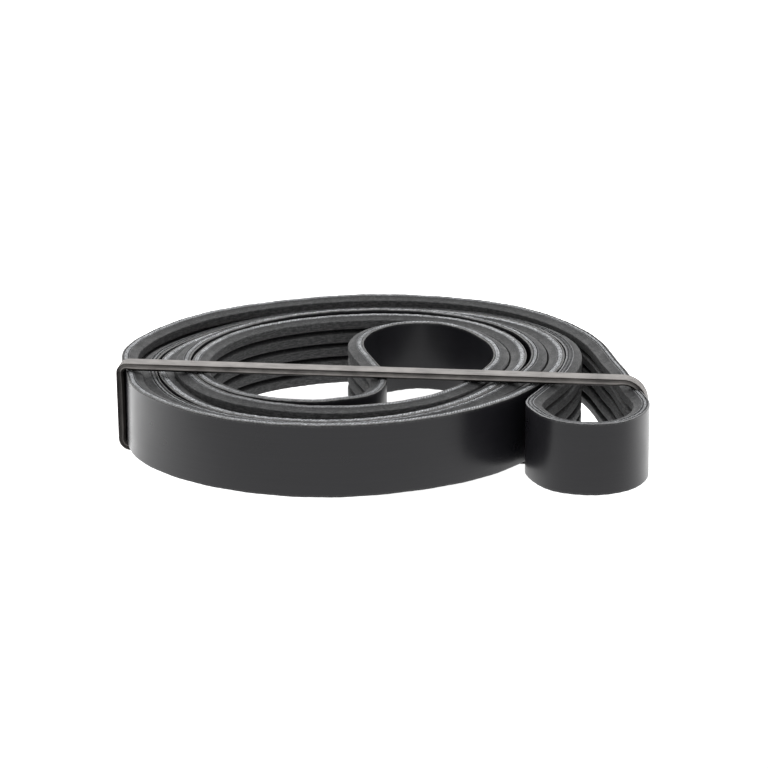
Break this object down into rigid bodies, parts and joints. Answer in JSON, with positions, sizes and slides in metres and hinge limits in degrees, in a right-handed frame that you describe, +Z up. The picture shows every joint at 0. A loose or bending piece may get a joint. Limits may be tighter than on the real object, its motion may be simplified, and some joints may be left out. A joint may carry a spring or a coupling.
{
  "type": "V-ribbed drive belt",
  "caption": "Endless V-ribbed rubber drive belt, folded double and wound into a flat coil on its edge, held by a rubber band that slides off.",
  "frame": {"origin": "on the surface that the object stands on, at the middle of the object's outline seen from above", "axes": "+Z up, along the belt's width; +X to the right and +Y away, seen from the side of the small end loop"},
  "size_m": [0.1324, 0.1204, 0.0225],
  "materials": {
    "belt_back_rubber": "smooth satin black rubber",
    "cushion_gum": "cut dark rubber",
    "rib_rubber": "ground matt black rubber with short fibres",
    "cord_yarn": "twisted off-white yarn, cut and rubbed with black",
    "band_rubber": "dull brown-black latex"
  },
  "bodies": {
    "belt": {"belt_back": "belt_back_rubber", "cord_layer": "cushion_gum", "rib_layer": "rib_rubber", "edge_cord_lower": "cord_yarn", "edge_cord_upper": "cord_yarn"},
    "rubber_band": {"rubber_band": "band_rubber"}
  },
  "joints": [
    {"name": "band_pull_off", "type": "slide", "parent": "belt", "child": "rubber_band", "axis": [-0.1483, 0.9889, 0], "range_m": [0, 0.09]}
  ]
}
